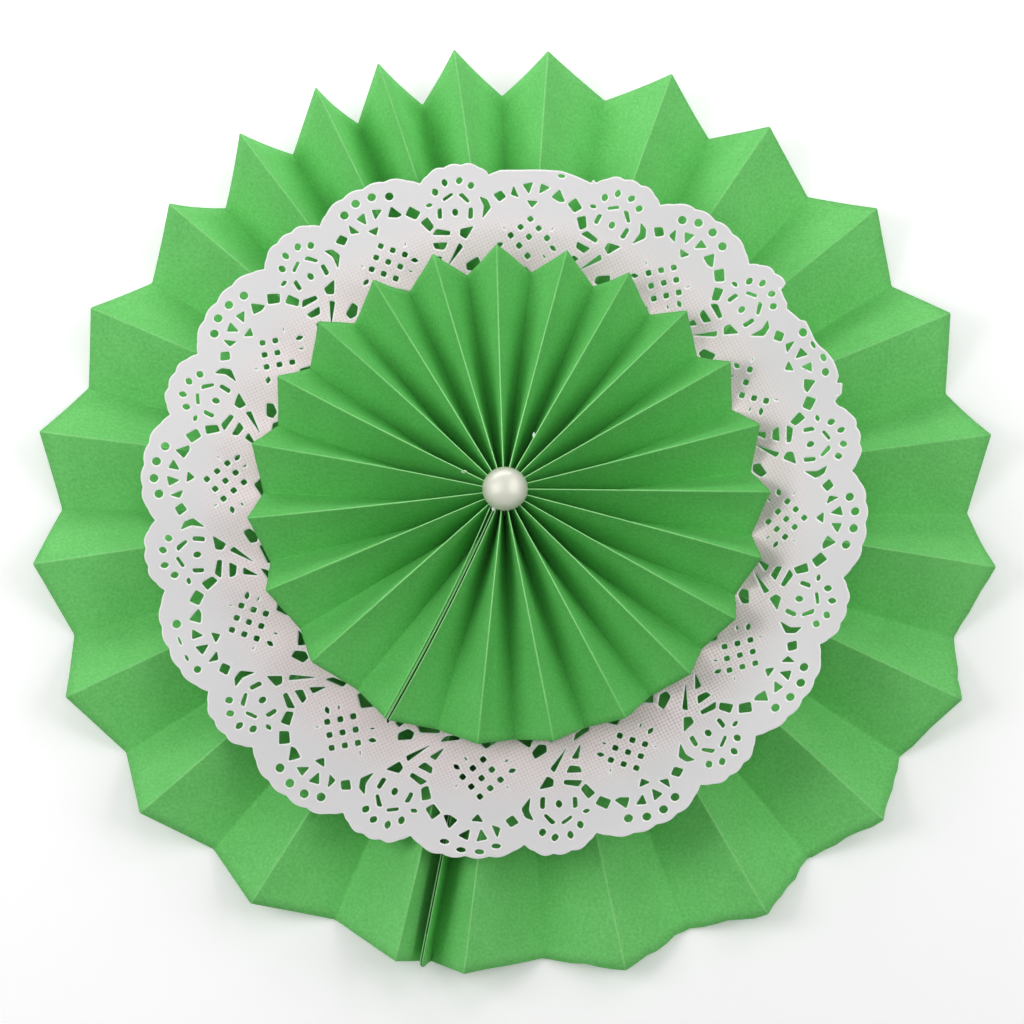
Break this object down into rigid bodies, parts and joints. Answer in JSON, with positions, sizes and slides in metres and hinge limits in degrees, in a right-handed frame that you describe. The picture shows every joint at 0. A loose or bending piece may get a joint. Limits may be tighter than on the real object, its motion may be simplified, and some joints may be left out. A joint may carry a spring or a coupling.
{
  "type": "paper fan rosette",
  "caption": "Round party decoration of two pleated paper rings, one on top of the other, with a lace paper doily between them and a half-round pearl in the middle.",
  "frame": {"origin": "centre of the back face of the backing disc, which is the middle of the large pleated ring", "axes": "+Z points out of the front of the rosette, +Y is the top of the decoration as pictured, +X its right-hand side"},
  "size_m": [0.3018, 0.3036, 0.0499],
  "materials": {
    "backing_card": "matte",
    "green_paper": "matte, fine grain",
    "lace_paper": "matte, embossed",
    "dried_glue": "clear, slightly milky",
    "pearl_plastic": "pearl coating"
  },
  "bodies": {
    "root": {"backing_disc": "backing_card", "large_rosette": "green_paper", "large_seam_glue": "dried_glue", "large_hub_glue": "dried_glue", "lace_doily": "lace_paper", "small_rosette": "green_paper", "small_seam_glue": "dried_glue", "small_hub_glue": "dried_glue", "pearl_cabochon": "pearl_plastic"}
  },
  "joints": []
}
